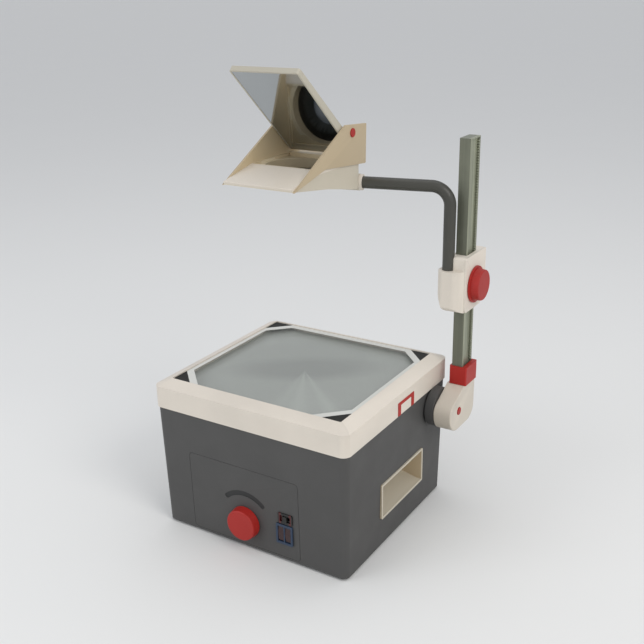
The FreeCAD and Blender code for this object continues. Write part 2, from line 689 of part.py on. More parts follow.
def strip_window(width, depth):
    """Inner edge of the pale border: it runs along three sides and across the corners."""
    half_w = width / 2
    half_d = depth / 2
    cut = APERTURE_CHAMFER + STRIP_CORNER * math.sqrt(2)
    left = -half_w + STRIP_SIDE
    right = half_w - STRIP_SIDE
    rear = half_d - STRIP_REAR
    return [
        (-half_w + cut, -half_d, 0), (half_w - cut, -half_d, 0),
        (right, -half_d + cut - STRIP_SIDE, 0), (right, half_d - cut + STRIP_SIDE, 0),
        (half_w - cut + STRIP_REAR, rear, 0), (-half_w + cut - STRIP_REAR, rear, 0),
        (left, half_d - cut + STRIP_SIDE, 0), (left, -half_d + cut - STRIP_SIDE, 0)]


def build_stage():
    """Glass, Fresnel lens below it, pale aperture border and dark corner masks on it."""
    shelf = LEDGE_BASE + 4.0
    width = OPENING_WIDTH - 0.8
    depth = OPENING_DEPTH - 0.8
    fresnel = plate_z(centred(width, depth, 2), (shelf, shelf + FRESNEL_THICK))
    glass = plate_z(centred(width, depth, 2), (GLASS_TOP - GLASS_THICK, GLASS_TOP))
    strip = plate_z(
        chamfered(width, depth, APERTURE_CHAMFER), (GLASS_TOP, GLASS_TOP + STRIP_THICK))
    strip = strip.cut(plate_z(strip_window(width, depth), (GLASS_TOP - 1, LID_TOP)))
    masks = plate_z(centred(width, depth, 2), (GLASS_TOP, GLASS_TOP + MASK_THICK))
    masks = masks.cut(plate_z(
        chamfered(width, depth, APERTURE_CHAMFER), (GLASS_TOP - 1, LID_TOP)))
    return glass, fresnel, group(strip.Solids), group(masks.Solids)


def build_latches():
    """Red surround fixed in the lid's side wall and the push button inside it."""
    wall = STAGE_WIDTH / 2 - WALL
    surround = plate_x(rectangle(LATCH_Y, LATCH_Z, 1), (wall, STAGE_WIDTH / 2 + LATCH_PROUD))
    hole_y = (LATCH_Y[0] + LATCH_SIDE, LATCH_Y[1] - LATCH_SIDE)
    hole_z = (LATCH_Z[0] - 1, LATCH_Z[1] - LATCH_BAND)
    surround = surround.cut(block((160, 175), hole_y, hole_z))
    button_y = (hole_y[0] + RUN_GAP, hole_y[1] - RUN_GAP)
    button_z = (LATCH_Z[0], hole_z[1] - RUN_GAP)
    button = plate_x(rectangle(button_y, button_z, 0.8), (wall, STAGE_WIDTH / 2 + 0.3))
    return group([surround, mirrored(surround)]), button, mirrored(button)


# ---- mast ---------------------------------------------------------------------------
def build_mast_bracket():
    """Boss on the side of the shell that the knuckle turns against, and the plate behind it."""
    boss = rod(KNUCKLE_R, (170.4, PIVOT_Y, PIVOT_Z), (KNUCKLE_X[0] - RUN_GAP, PIVOT_Y, PIVOT_Z))
    boss = boss.fuse(rod(28, (168.2, PIVOT_Y, PIVOT_Z), (170.4, PIVOT_Y, PIVOT_Z)))
    boss = boss.fuse(rod(24, (163.5, PIVOT_Y, PIVOT_Z), (168.2, PIVOT_Y, PIVOT_Z)))
    boss = boss.cut(rod(PIVOT_R, (150, PIVOT_Y, PIVOT_Z), (190, PIVOT_Y, PIVOT_Z)))
    plate = plate_x(rectangle((75, 142), (142, 197.5), 6), (160.0, 163.5))
    plate = plate.cut(rod(PIVOT_R, (150, PIVOT_Y, PIVOT_Z), (190, PIVOT_Y, PIVOT_Z)))
    for y, z in bracket_screw_centres():
        hole = rod(2.5, (150, y, z), (173, y, z))
        boss = boss.cut(hole)
        plate = plate.cut(hole)
    return boss.removeSplitter(), plate


def build_pivot_shaft():
    shaft = rod(PIVOT_R, (160, PIVOT_Y, PIVOT_Z), (206.5, PIVOT_Y, PIVOT_Z))
    return shaft.fuse(rod(11.0, (156, PIVOT_Y, PIVOT_Z), (160, PIVOT_Y, PIVOT_Z)))


def build_knuckle():
    rear = 168.0
    low = PIVOT_Z - KNUCKLE_R
    front = PIVOT_Y - KNUCKLE_R
    corners = [
        (front, low, 30), (rear, low, 24), (rear, KNUCKLE_TOP, 0), (125, KNUCKLE_TOP, 0),
        (front, 184, 18)]
    knuckle = plate_x(corners, KNUCKLE_X)
    side_edges = []
    for edge in knuckle.Edges:
        box = edge.BoundBox
        on_face = abs(box.XMin - box.XMax) < 0.01
        if on_face and box.ZMin < KNUCKLE_TOP - 1 and box.YMin < rear - 1:
            side_edges.append(edge)
    knuckle = knuckle.makeFillet(2.0, side_edges)
    knuckle = knuckle.cut(rod(PIVOT_R + FIT_GAP, (180, PIVOT_Y, PIVOT_Z), (207, PIVOT_Y, PIVOT_Z)))
    knuckle = knuckle.cut(rod(BUTTON_R + RUN_GAP, (206.9, PIVOT_Y, PIVOT_Z), (220, PIVOT_Y, PIVOT_Z)))
    return knuckle.cut(post_block(0, (POST_FOOT, KNUCKLE_TOP + 1)))


def build_release_button():
    button = rod(BUTTON_R, (210.0, PIVOT_Y, PIVOT_Z), (216.0, PIVOT_Y, PIVOT_Z))
    rim = [e for e in button.Edges if e.Closed and abs(e.BoundBox.XMin - 216.0) < 0.01]
    return button.makeFillet(1.0, rim)


def post_block(grow, z):
    x = (POST_X - POST_WIDTH / 2 - grow, POST_X + POST_WIDTH / 2 + grow)
    y = (POST_Y - POST_DEPTH / 2 - grow, POST_Y + POST_DEPTH / 2 + grow)
    return plate_z(rectangle(x, y, 1.5), z)


def post_bore(z):
    """Hollow inside the post, beside its channel."""
    x = (POST_X - POST_WIDTH / 2 + POST_WALL, CHANNEL_FLOOR_X - POST_WALL)
    y = (POST_Y - POST_DEPTH / 2 + POST_WALL, POST_Y + POST_DEPTH / 2 - POST_WALL)
    return plate_z(rectangle(x, y, 1.0), z)


def build_post():
    """Extruded tube with a shallow channel down its outer side, for the rack and its gear."""
    post = post_block(0, (POST_FOOT, POST_TOP - 2)).cut(post_bore((POST_FOOT - 1, POST_TOP)))
    return post.cut(block((CHANNEL_FLOOR_X, 215), CHANNEL_Y, (POST_FOOT - 1, POST_TOP)))


def build_post_cap():
    cap = post_block(0, (POST_TOP - 2, POST_TOP))
    return cap.fuse(post_bore((POST_TOP - 12, POST_TOP - 2))).removeSplitter()


def build_focus_rack():
    """Rack along the rear of the post's channel; its teeth face forward."""
    pitch_line = POST_Y + MODULE * FOCUS_TEETH / 2
    pitch = math.pi * MODULE
    corners = rack_corners(240, 588, pitch_line, CHANNEL_Y[1], 1, FOCUS_Z + pitch / 2)
    return plate_x(corners, (CHANNEL_FLOOR_X, POST_X + POST_WIDTH / 2 - 0.3))


def build_collar():
    collar = plate_z(rectangle((188.4, 217.0), (126.4, 168.0), 2), COLLAR_Z)
    return collar.cut(post_block(RUN_GAP, (COLLAR_Z[0] - 1, COLLAR_Z[1] + 1)))


# ---- focus carriage -----------------------------------------------------------------
def build_carriage():
    low, high = CARRIAGE_Z
    face = CARRIAGE_FACE_X
    main = plate_z(
        [(187.5, 113, 3), (face, 113, 1), (face, 187, 3), (187.5, 187, 5)], (low, high))
    cup = plate_z(
        [(172, 101, 12), (203, 101, 14), (face, 113.5, 0.5), (face, 140, 0), (190, 140, 0),
         (172, 129, 10)], (low, CUP_TOP))
    housing = main.fuse(cup)
    silhouette = plate_x(
        [(95, low, 26), (175, low, 16), (190, low + 24, 20), (190, high, 2), (113, high, 5),
         (112, CUP_TOP + 3, 0), (95, CUP_TOP + 3, 0)], (165, 220))
    housing = housing.common(silhouette)
    flank = plate_y(
        [(171, low + 34, 0), (186, low - 3, 14), (face + 1, low - 3, 0), (face + 1, high + 1, 0),
         (171, high + 1, 0)], (90, 200))
    housing = housing.common(flank)
    housing = housing.cut(post_block(RUN_GAP, (low - 1, high + 1)))
    housing = housing.cut(
        rod(SPINDLE_R + FIT_GAP, (209, POST_Y, FOCUS_Z), (face + 1, POST_Y, FOCUS_Z)))
    housing = housing.cut(
        rod(ARM_R + FIT_GAP, (ARM_X, ARM_Y, ARM_FOOT_Z - RUN_GAP), (ARM_X, ARM_Y, CUP_TOP + 30)))
    return housing.removeSplitter()


def build_carriage_cover():
    low, high = CARRIAGE_Z
    face = CARRIAGE_FACE_X
    cover = plate_x(
        [(113.5, low + 1, 5), (172, low + 1, 14), (187, low + 24, 18), (187, high, 2),
         (113.5, high, 3)], (face, face + COVER_THICK))
    return cover.cut(
        rod(SPINDLE_R + FIT_GAP, (face - 1, POST_Y, FOCUS_Z), (face + 5, POST_Y, FOCUS_Z)))


def build_focus_parts():
    """Red focus knob and the spindle with the gear that runs in the post's channel."""
    back = CARRIAGE_FACE_X + COVER_THICK + RUN_GAP
    front = 231.5
    knob = rod(28.5, (back, POST_Y, FOCUS_Z), (back + 3.0, POST_Y, FOCUS_Z))
    knob = knob.fuse(cone(25, 23.5, (back + 3.0, POST_Y, FOCUS_Z), (front, POST_Y, FOCUS_Z)))
    rims = [e for e in knob.Edges if e.Closed and abs(e.BoundBox.XMin - front) < 0.01]
    knob = knob.makeFillet(2.0, rims)
    knob = knob.cut(rod(SPINDLE_R, (back - 1, POST_Y, FOCUS_Z), (front - 5, POST_Y, FOCUS_Z)))

    gear_x = (CHANNEL_FLOOR_X + RUN_GAP, POST_X + POST_WIDTH / 2 - 0.6)
    wheel = gear_outline(
        FOCUS_TEETH, lambda u, v: Vector(gear_x[0], POST_Y + u, FOCUS_Z + v))
    gear = Part.Face(wheel).extrude(Vector(gear_x[1] - gear_x[0], 0, 0))
    gear = gear.fuse(rod(SPINDLE_R, (gear_x[0], POST_Y, FOCUS_Z), (front - 5, POST_Y, FOCUS_Z)))
    return knob, gear.removeSplitter()


# ---- arm and head -------------------------------------------------------------------
def arm_direction():
    run = Vector(SOCKET_X - ARM_X, SOCKET_Y - ARM_Y, 0)
    run.normalize()
    return run


def build_arm():
    """Bent tube: up from the carriage, round the elbow, across to the head."""
    across = arm_direction()
    elbow = Vector(ARM_X, ARM_Y, ARM_AXIS_Z)
    foot = Vector(ARM_X, ARM_Y, ARM_FOOT_Z)
    bend_start = elbow - Vector(0, 0, ARM_BEND_R)
    bend_end = elbow + across * ARM_BEND_R
    centre = bend_start + across * ARM_BEND_R
    out = (elbow - centre)
    out.normalize()
    crown = centre + out * ARM_BEND_R
    far = Vector(SOCKET_X, SOCKET_Y, ARM_AXIS_Z) + across * 16
    path = Part.Wire([
        Part.makeLine(foot, bend_start),
        Part.Arc(bend_start, crown, bend_end).toShape(),
        Part.makeLine(bend_end, far)])

    def swept(radius):
        ring = Part.Wire(Part.makeCircle(radius, foot, Vector(0, 0, 1)))
        return path.makePipeShell([ring], True, False)

    return swept(ARM_R).cut(swept(ARM_BORE_R))


def build_arm_ferrule():
    across = arm_direction()
    start = Vector(SOCKET_X, SOCKET_Y, ARM_AXIS_Z) - across * 5
    ring = Part.makeCylinder(12, 5, start, across)
    return ring.cut(Part.makeCylinder(ARM_R, 7, start - across, across))


def head_profile(inset):
    """Side outline (y, z) of the head's lower housing, moved in by an inset."""
    return [
        (-105 + 2.2 * inset, 545, 0), (-14, 532 + inset, 40), (62, 517 + inset, 8),
        (88 - inset, 520 + inset, 8), (88 - inset, 557, 0), (-36, 557, 0),
        (-104 + 2.2 * inset, 546.5, 0)]


def build_head_base():
    """Lower housing of the head: a tray that takes the lens barrel and the arm."""
    across = arm_direction()
    base = plate_x(head_profile(0), (-HEAD_HALF, HEAD_HALF))
    corner_cut = block((HEAD_HALF - 22, 70), (66, 95), (500, 570))
    corner_cut = corner_cut.cut(rod(22, (HEAD_HALF - 22, 66, 490), (HEAD_HALF - 22, 66, 580)))
    base = base.cut(corner_cut)
    hollow = plate_x(head_profile(3), (-HEAD_HALF + 3, HEAD_HALF - 3))
    inner_cut = block((HEAD_HALF - 25, 70), (63, 95), (500, 570))
    inner_cut = inner_cut.cut(rod(19, (HEAD_HALF - 22, 66, 490), (HEAD_HALF - 22, 66, 580)))
    base = base.cut(hollow.cut(inner_cut))
    start = Vector(SOCKET_X, SOCKET_Y, ARM_AXIS_Z)
    boss = Part.makeCylinder(12.5, 26, start, across)
    base = base.fuse(boss)
    base = base.cut(Part.makeCylinder(ARM_R, 60, start - across * 30, across))
    base = base.cut(Part.makeCylinder(12.5, 20, start - across * 20, across))
    base = base.cut(rod(WELL_R - 3, (0, 0, 500), (0, 0, 600)))
    base = base.cut(rod(WELL_R + 2, (0, 0, WELL_FLOOR), (0, 0, 600)))
    return base.removeSplitter()


def build_head_deck():
    """Top plate: sloping lip, well over the lens, step at the back, low rib along each side."""
    width = (-HEAD_HALF, HEAD_HALF)
    plate = block(width, (-36, 64), DECK_Z)
    tail = plate_z(
        [(-HEAD_HALF, 63, 0), (HEAD_HALF, 63, 0), (HEAD_HALF, 87.5, 20), (-HEAD_HALF, 87.5, 0.5)],
        DECK_Z)
    step = plate_z(rectangle((-53, 53), (53, 84), 2), (DECK_Z[0] + 1, STEP_TOP))
    deck = plate.fuse(tail).fuse(step).cut(rod(WELL_R, (0, 0, 540), (0, 0, 580)))
    well = rod(WELL_R + 2, (0, 0, WELL_FLOOR), (0, 0, DECK_Z[0] + 1))
    well = well.cut(rod(WELL_R, (0, 0, 540), (0, 0, 580)))
    lip = plate_x(
        [(-104, 546.5, 0), (-36, 557, 0), (-34, 562.5, 0), (-39, 562.5, 3), (-105, 549.5, 0.5)],
        width)
    deck = deck.fuse(well).fuse(lip)
    for edge in ((-HEAD_HALF, 3 - HEAD_HALF), (HEAD_HALF - 3, HEAD_HALF)):
        deck = deck.fuse(block(edge, (-37, 60), (DECK_Z[0], DECK_Z[1] + 3.5)))
    return deck.removeSplitter()


def build_head_cheeks():
    """Side plates that carry the mirror flap."""
    corners = [
        (-107, 543.5, 0.4), (31, 615, 3), (90, 610, 1.5), (88, 552, 2), (-26, 562, 30)]
    right = plate_x(corners, (HEAD_HALF, HEAD_HALF + CHEEK_THICK))
    y, z = FLAP_PIVOT
    right = right.cut(rod(FLAP_PIN_R, (50, y, z), (70, y, z)))
    return group([right, mirrored(right)])


def build_lens_barrel():
    """Black barrel: broad ring at the foot of the well, funnel and seats of the lenses."""
    outer = WELL_R - 3
    section = [
        (WELL_R + 2, 0, 541), (WELL_R + 2, 0, WELL_FLOOR), (40, 0, WELL_FLOOR),
        (LENS_CLEAR_R, 0, 540), (LENS_CLEAR_R, 0, 538), (LENS_R, 0, 538), (LENS_R, 0, 535),
        (LENS_CLEAR_R, 0, 535), (LENS_CLEAR_R, 0, 533.5), (LENS_R, 0, 533.5), (LENS_R, 0, 530.5),
        (outer, 0, 530.5), (outer, 0, 541)]
    return revolve(section, (0, 0, 0), (0, 0, 1))


def build_lenses():
    """Upper lens, domed on top, and lower lens, domed underneath."""
    dome_r = 70.0
    dome_rise = 4.8
    upper = rod(LENS_R, (0, 0, 535), (0, 0, 538))
    dome = Part.makeSphere(dome_r, Vector(0, 0, 538 + dome_rise - dome_r))
    upper = upper.fuse(rod(LENS_CLEAR_R, (0, 0, 537), (0, 0, 545)).common(dome))
    lower = rod(LENS_R, (0, 0, 530.5), (0, 0, 533.5))
    bowl = Part.makeSphere(dome_r, Vector(0, 0, 530.5 - dome_rise + dome_r))
    lower = lower.fuse(rod(LENS_CLEAR_R, (0, 0, 525), (0, 0, 531)).common(bowl))
    return group([upper.removeSplitter(), lower.removeSplitter()])


def flap_frame():
    """Unit vectors of the flap: up its length, and out of its mirror side."""
    run = Vector(0, FLAP_TIP[0] - FLAP_FOOT[0], FLAP_TIP[1] - FLAP_FOOT[1])
    length = run.Length
    run.normalize()
    face = Vector(1, 0, 0).cross(run)
    return run, face, length


def flap_point(x, up, out):
    run, face, _ = flap_frame()
    return Vector(x, FLAP_FOOT[0], FLAP_FOOT[1]) + run * up + face * out


def flap_slab(x, up, out, radius):
    """Rounded slab in the flap's own frame; out is measured from the rim plane."""
    _, face, _ = flap_frame()
    wire = outline(rectangle(x, up, radius), lambda u, v: flap_point(u, v, out[0]))
    return Part.Face(wire).extrude(face * (out[1] - out[0]))


def flap_wedge():
    """Side shape of the flap, thinner at its tip, right across its width."""
    _, _, length = flap_frame()
    corners = [(0, -FLAP_DEPTH), (0, 0), (length, 0), (length, -FLAP_TIP_DEPTH)]
    points = [flap_point(-FLAP_HALF, up, out) for up, out in corners]
    return Part.Face(Part.makePolygon(points + points[:1])).extrude(Vector(2 * FLAP_HALF, 0, 0))


def build_mirror_flap():
    """Shallow cream tray with the mirror in it and an ear on each side at the pivot."""
    _, _, length = flap_frame()
    side = FLAP_HALF
    tray = flap_slab((-side, side), (0, length), (-FLAP_DEPTH, 0), 3).common(flap_wedge())
    tray = tray.cut(flap_slab(
        (-side + FLAP_RIM, side - FLAP_RIM), (FLAP_RIM, length - FLAP_RIM), (-MIRROR_SEAT, 1), 1.5))
    back_wall = 3.0
    tray = tray.cut(flap_slab(
        (-side + back_wall, side - back_wall), (back_wall, length - back_wall),
        (-FLAP_DEPTH - 1, -MIRROR_SEAT - 2.5), 2))
    y, z = FLAP_PIVOT
    for low, high in ((side - 5, side), (-side, -side + 5)):
        ear = rod(9, (low, y, z), (high, y, z))
        foot = flap_slab((low, high), (18, 46), (-FLAP_DEPTH - 1, -FLAP_DEPTH + 3), 0)
        tray = tray.fuse(ear).fuse(foot)
    tray = tray.cut(rod(FLAP_PIN_R + FIT_GAP, (-70, y, z), (70, y, z)))
    return tray.removeSplitter()


def build_mirror_glass():
    _, _, length = flap_frame()
    edge = FLAP_RIM + 0.2
    side = FLAP_HALF - edge
    return flap_slab(
        (-side, side), (edge, length - edge), (-MIRROR_SEAT, -MIRROR_SEAT + MIRROR_THICK), 1.4)


def build_flap_pivots():
    y, z = FLAP_PIVOT
    outside = HEAD_HALF + CHEEK_THICK
    pin = rod(FLAP_PIN_R, (FLAP_HALF - 6, y, z), (outside, y, z))
    head = rod(6.5, (outside, y, z), (outside + 1.8, y, z))
    rim = [e for e in head.Edges if e.Closed and e.BoundBox.XMin > outside + 1]
    pin = pin.fuse(head.makeFillet(0.8, rim))
    return group([pin, mirrored(pin)])


# ---- all nodes ----------------------------------------------------------------------
def build_all():
    nodes = {
        "body_shell": build_shell(),
        "base_pan": build_base_pan(),
        "rubber_feet": build_feet(),
        "machine_screws": build_screws(),
        "control_panel": build_control_panel(),
        "arc_scale": build_arc_scale(),
        "handle_cups": build_handle_cups(),
        "vent_grille": build_vent_grille(),
        "power_inlet": build_power_inlet(),
        "lamp_frame": build_lamp_frame(),
        "condenser_lens": build_condenser_lens(),
        "guide_rods": build_guide_rods(),
        "lid_frame": build_lid(),
        "hinge_pins": build_hinge_pins(),
        "pivot_shaft": build_pivot_shaft(),
        "knuckle": build_knuckle(),
        "release_button": build_release_button(),
        "mast_post": build_post(),
        "post_cap": build_post_cap(),
        "focus_rack": build_focus_rack(),
        "lock_collar": build_collar(),
        "carriage_housing": build_carriage(),
        "carriage_cover": build_carriage_cover(),
        "arm_tube": build_arm(),
        "arm_ferrule": build_arm_ferrule(),
        "head_base": build_head_base(),
        "head_deck": build_head_deck(),
        "head_cheeks": build_head_cheeks(),
        "lens_barrel": build_lens_barrel(),
        "projection_lenses": build_lenses(),
        "mirror_flap": build_mirror_flap(),
        "mirror_glass": build_mirror_glass(),
        "flap_pivots": build_flap_pivots(),
    }
    nodes["transformer_core"], nodes["transformer_coil"] = build_transformer()
    nodes["fan_housing"], nodes["fan_rotor"] = build_fan()
    nodes["fringe_knob"], nodes["fringe_shaft"], nodes["dial_pointer"] = build_fringe_parts()
    lamp = build_lamp_parts()
    nodes["lamp_carrier"], nodes["lamp_socket"], nodes["halogen_bulb"], nodes["lamp_reflector"] = lamp
    nodes["rocker_bezel"], rockers = build_rockers()
    nodes["power_rocker"], nodes["lamp_rocker"] = rockers
    nodes["selector_bezel"], nodes["selector_button"] = build_selector()
    stage = build_stage()
    nodes["stage_glass"], nodes["fresnel_lens"], nodes["aperture_strip"], nodes["corner_masks"] = stage
    latches = build_latches()
    nodes["latch_surrounds"], nodes["latch_button_right"], nodes["latch_button_left"] = latches
    nodes["mast_bracket"], nodes["backing_plate"] = build_mast_bracket()
    nodes["focus_knob"], nodes["focus_gear"] = build_focus_parts()
    return nodes


os.makedirs("parts", exist_ok=True)
for name, shape in build_all().items():
    shape.exportStep(f"parts/{name}.step")
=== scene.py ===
import json
import math

import bmesh
import bpy
from mathutils import Matrix, Vector

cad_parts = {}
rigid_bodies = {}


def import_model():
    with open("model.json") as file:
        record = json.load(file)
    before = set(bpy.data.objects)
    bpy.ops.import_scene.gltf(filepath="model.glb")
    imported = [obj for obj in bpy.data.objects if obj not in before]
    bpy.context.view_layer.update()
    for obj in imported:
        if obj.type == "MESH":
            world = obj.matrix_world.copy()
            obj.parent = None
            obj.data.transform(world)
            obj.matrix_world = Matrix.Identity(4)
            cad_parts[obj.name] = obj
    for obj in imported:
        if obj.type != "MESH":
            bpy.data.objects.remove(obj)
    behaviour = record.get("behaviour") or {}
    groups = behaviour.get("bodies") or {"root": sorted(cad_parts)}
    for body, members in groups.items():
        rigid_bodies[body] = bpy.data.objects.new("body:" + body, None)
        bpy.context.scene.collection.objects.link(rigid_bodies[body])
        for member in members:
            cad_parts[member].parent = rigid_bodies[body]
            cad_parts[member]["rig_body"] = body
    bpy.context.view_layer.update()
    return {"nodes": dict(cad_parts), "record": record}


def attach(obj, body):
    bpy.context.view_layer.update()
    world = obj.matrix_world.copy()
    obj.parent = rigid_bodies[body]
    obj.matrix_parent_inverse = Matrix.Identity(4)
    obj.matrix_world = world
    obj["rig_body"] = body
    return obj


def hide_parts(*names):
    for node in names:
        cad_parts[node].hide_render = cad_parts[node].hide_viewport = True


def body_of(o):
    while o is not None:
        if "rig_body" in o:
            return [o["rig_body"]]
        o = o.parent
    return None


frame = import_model()
MM = 0.001
SHARP = math.radians(35)
FLAT = math.radians(0.4)

# ---- view and light -----------------------------------------------------------------
CAMERA_AT = (0.72817, -1.10408, 0.81565)
CAMERA_HEADING = math.radians(32.175)
CAMERA_PITCH = math.radians(20.657)
CAMERA_ROLL = math.radians(-1.072)
CAMERA_LENS = 51.66

WORLD_COLOUR = (0.93, 0.95, 1.0, 1.0)
WORLD_STRENGTH = 0.70

CREAM = (0.70, 0.640, 0.555)
CREAM_CAST = (0.62, 0.56, 0.47)
RED = (0.38, 0.011, 0.006)

# painted sheen: pale rays of painted reflection on the stage: angle from the front (degrees), half
# width (degrees), strength
PAINTED_SHEEN_RAYS = ((-4.0, 7.0, 0.6), (15.0, 6.0, 0.55), (-16.0, 8.0, 0.3), (1.0, 26.0, 0.35))
RING_PITCH = 0.0006
# painted shade: darker ovals on the stage, a dark pool painted on the lens: centre and radii (m),
# where the fade starts, shade
PAINTED_SHADE_OVALS = (
    ((0.0, 0.050, 0.125, 0.085), 0.75, 0.93),
    ((0.002, 0.008, 0.140, 0.052), 0.45, 0.74),
)

# where a piece changes colour, most of them where painted light or shade starts (m, in the frame
# at rest)
COLOUR_STEP = 0.0002
CHANNEL_X = 0.2052
POST_FRONT = 0.1292
HANDLE_MIDDLE = 0.0115
HANDLE_REACH = 0.0642
HANDLE_FACE = 0.1672
FUNNEL_FOOT = 0.5385
FUNNEL_R = 0.0399
LIP_END = -0.0366
SHELF_SIDE = 0.0566
SHELF_TOP = 0.5592
WELL_R = 0.0501
WELL_RING_R = 0.0568
WELL_RING_END = 0.0400
CHEEK_INSIDE = 0.0572
FLAP_FOOT = 0.5712
SLIDE_MIDDLE = 0.063
SLIDE_MARK = (0.0066, 0.0105)

# name, place, aimed at, size (m), power (W), colour
LIGHTS = (
    ("key_light", (2.4, -0.9, 2.1), (0.0, 0.0, 0.25), 1.6, 30.0, (1.0, 0.97, 0.93)),
    ("fill_light", (-1.5, -2.2, 1.4), (0.0, 0.0, 0.2), 1.8, 18.0, (0.95, 0.97, 1.0)),
    ("top_light", (0.0, 0.3, 2.8), (0.0, 0.0, 0.2), 1.8, 8.0, (1.0, 1.0, 1.0)),
)

# width of the softened edges (mm) of the pieces whose edges show
SOFT_EDGES = {
    "body_shell": 0.8, "control_panel": 0.5, "lid_frame": 0.7, "handle_cups": 0.6,
    "rocker_bezel": 0.4, "selector_bezel": 0.3, "latch_surrounds": 0.3,
    "latch_button_right": 0.3, "latch_button_left": 0.3, "fringe_knob": 0.6,
    "mast_bracket": 0.7, "knuckle": 0.8, "release_button": 0.4, "lock_collar": 0.6,
    "mast_post": 0.4, "post_cap": 0.5, "carriage_housing": 0.8, "carriage_cover": 0.6,
    "focus_knob": 0.5, "arm_ferrule": 0.4, "head_base": 0.7, "head_deck": 0.5,
    "head_cheeks": 0.6, "mirror_flap": 0.6, "flap_pivots": 0.4, "lens_barrel": 0.4,
    "vent_grille": 0.4, "power_inlet": 0.4, "rubber_feet": 0.5,
}


def set_camera():
    """Camera in front of the lamp house, to its right and above it."""
    data = bpy.data.cameras.new("camera")
    data.lens = CAMERA_LENS
    data.sensor_width = 36.0
    data.clip_end = 50.0
    camera = bpy.data.objects.new("camera", data)
    bpy.context.scene.collection.objects.link(camera)
    heading = Matrix.Rotation(CAMERA_HEADING, 4, "Z")
    pitch = Matrix.Rotation(math.pi / 2 - CAMERA_PITCH, 4, "X")
    roll = Matrix.Rotation(CAMERA_ROLL, 4, "Z")
    camera.matrix_world = Matrix.Translation(CAMERA_AT) @ heading @ pitch @ roll
    bpy.context.scene.camera = camera


def set_lights():
    """Three soft discs and an even pale world."""
    for name, place, target, size, power, colour in LIGHTS:
        data = bpy.data.lights.new(name, "AREA")
        data.shape = "DISK"
        data.size = size
        data.energy = power
        data.color = colour
        lamp = bpy.data.objects.new(name, data)
        bpy.context.scene.collection.objects.link(lamp)
        lamp.location = place
        aim = Vector(target) - Vector(place)
        lamp.rotation_euler = aim.to_track_quat("-Z", "Y").to_euler()
    world = bpy.data.worlds.new("studio")
    bpy.context.scene.world = world
    world.use_nodes = True
    sky = world.node_tree.nodes["Background"]
    sky.inputs["Color"].default_value = WORLD_COLOUR
    sky.inputs["Strength"].default_value = WORLD_STRENGTH
    bpy.context.scene.view_settings.view_transform = "Standard"


